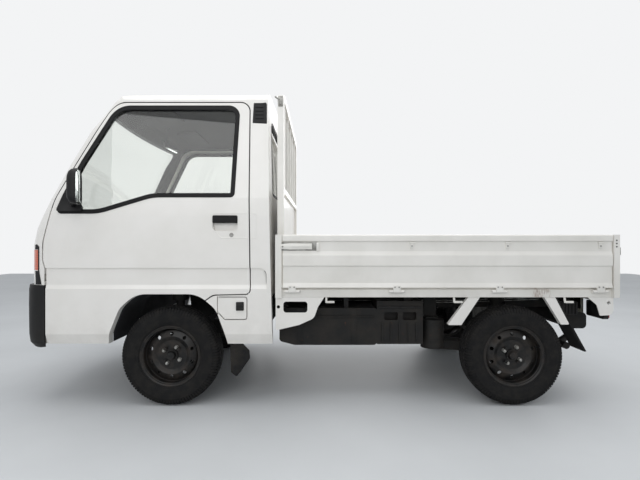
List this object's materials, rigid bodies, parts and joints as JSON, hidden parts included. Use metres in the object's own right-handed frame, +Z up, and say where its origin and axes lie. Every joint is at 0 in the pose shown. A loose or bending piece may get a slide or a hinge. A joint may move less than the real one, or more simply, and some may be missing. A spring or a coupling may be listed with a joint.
{
  "type": "kei truck",
  "caption": "Small forward-control truck with a hollow cab, drop-side bed, guard frame, underfloor tank and wheels that steer and roll.",
  "frame": {"origin": "on the ground, midway along the overall length, on the centre line", "axes": "-X to the front, -Y to the left side, +Z up"},
  "size_m": [3.2949, 1.757, 1.7649],
  "materials": {
    "white_paint": "gloss, weathered",
    "black_plastic": "satin",
    "black_rubber": "matt",
    "tyre_rubber": "matt",
    "wheel_black": "satin",
    "chassis_black": "satin, dusty",
    "cab_glazing": "clear",
    "lamp_clear": "clear",
    "lamp_amber": "gloss",
    "lamp_red": "gloss",
    "grey_vinyl": "matt",
    "dash_plastic": "satin",
    "cast_metal": "rough",
    "bed_paint": "gloss, scratched"
  },
  "bodies": {
    "root": {"cab_roof": "white_paint", "headlamps": "lamp_clear", "turn_lamps": "lamp_amber", "cab_glass": "cab_glazing", "cab_floor": "chassis_black", "cab_nose": "white_paint", "cab_back": "white_paint", "suspension": "chassis_black", "chassis_frame": "chassis_black", "engine_block": "cast_metal", "bed": "bed_paint", "guard_frame": "bed_paint", "side_skirts": "bed_paint", "splash_flaps": "black_rubber", "fuel_tank": "black_plastic", "battery_case_and_canister": "black_plastic", "silencer": "chassis_black", "front_bumper": "black_plastic", "dashboard": "dash_plastic", "seat_cushions": "grey_vinyl", "seat_backs": "grey_vinyl", "rear_lamps": "lamp_red"},
    "door_left": {"door_left": "white_paint", "door_trim_left": "black_rubber", "door_glass_left": "cab_glazing", "mirror_left": "black_plastic"},
    "gate_left": {"gate_left": "bed_paint"},
    "knuckle_left": {"knuckle_left": "cast_metal"},
    "wheel_front_left": {"tyre_front_left": "tyre_rubber", "rim_front_left": "wheel_black"},
    "wheel_rear_left": {"tyre_rear_left": "tyre_rubber", "rim_rear_left": "wheel_black"},
    "door_right": {"door_right": "white_paint", "door_trim_right": "black_rubber", "door_glass_right": "cab_glazing", "mirror_right": "black_plastic"},
    "gate_right": {"gate_right": "bed_paint"},
    "knuckle_right": {"knuckle_right": "cast_metal"},
    "wheel_front_right": {"tyre_front_right": "tyre_rubber", "rim_front_right": "wheel_black"},
    "wheel_rear_right": {"tyre_rear_right": "tyre_rubber", "rim_rear_right": "wheel_black"},
    "gate_tail": {"gate_tail": "bed_paint"},
    "fuel_flap": {"fuel_flap": "white_paint"},
    "steering_wheel": {"steering_wheel": "dash_plastic"}
  },
  "joints": [
    {"name": "open_door_left", "type": "hinge", "parent": "root", "child": "door_left", "pos_m": [-1.49, -0.6835, 0.7], "axis": [0, 0, -1], "range_deg": [0, 65]},
    {"name": "drop_gate_left", "type": "hinge", "parent": "root", "child": "gate_left", "pos_m": [0.7, -0.6895, 0.63], "axis": [1, 0, 0], "range_deg": [0, 170]},
    {"name": "steer_left", "type": "hinge", "parent": "root", "child": "knuckle_left", "pos_m": [-0.7975, -0.49, 0.271], "axis": [0, 0, 1], "range_deg": [-35, 35]},
    {"name": "spin_front_left", "type": "hinge", "parent": "knuckle_left", "child": "wheel_front_left", "pos_m": [-0.7975, -0.6025, 0.271], "axis": [0, -1, 0], "continuous": true},
    {"name": "spin_rear_left", "type": "hinge", "parent": "root", "child": "wheel_rear_left", "pos_m": [1.0875, -0.6025, 0.271], "axis": [0, -1, 0], "continuous": true},
    {"name": "open_door_right", "type": "hinge", "parent": "root", "child": "door_right", "pos_m": [-1.49, 0.6835, 0.7], "axis": [0, 0, 1], "range_deg": [0, 65]},
    {"name": "drop_gate_right", "type": "hinge", "parent": "root", "child": "gate_right", "pos_m": [0.7, 0.6895, 0.63], "axis": [-1, 0, 0], "range_deg": [0, 170]},
    {"name": "steer_right", "type": "hinge", "parent": "root", "child": "knuckle_right", "pos_m": [-0.7975, 0.49, 0.271], "axis": [0, 0, 1], "range_deg": [-35, 35]},
    {"name": "spin_front_right", "type": "hinge", "parent": "knuckle_right", "child": "wheel_front_right", "pos_m": [-0.7975, 0.6025, 0.271], "axis": [0, -1, 0], "continuous": true},
    {"name": "spin_rear_right", "type": "hinge", "parent": "root", "child": "wheel_rear_right", "pos_m": [1.0875, 0.6025, 0.271], "axis": [0, -1, 0], "continuous": true},
    {"name": "drop_gate_tail", "type": "hinge", "parent": "root", "child": "gate_tail", "pos_m": [1.6395, 0, 0.63], "axis": [0, 1, 0], "range_deg": [0, 170]},
    {"name": "open_fuel_flap", "type": "hinge", "parent": "root", "child": "fuel_flap", "pos_m": [-0.524, -0.6925, 0.56], "axis": [0, 0, -1], "range_deg": [0, 100]},
    {"name": "turn_steering_wheel", "type": "hinge", "parent": "root", "child": "steering_wheel", "pos_m": [-1.178, 0.325, 1], "axis": [0.4067, 0, 0.9135], "range_deg": [-495, 495]}
  ],
  "couplings": [
    {"joint": "steer_right", "follows": "steer_left", "ratio": 1},
    {"joint": "turn_steering_wheel", "follows": "steer_left", "ratio": 14}
  ]
}
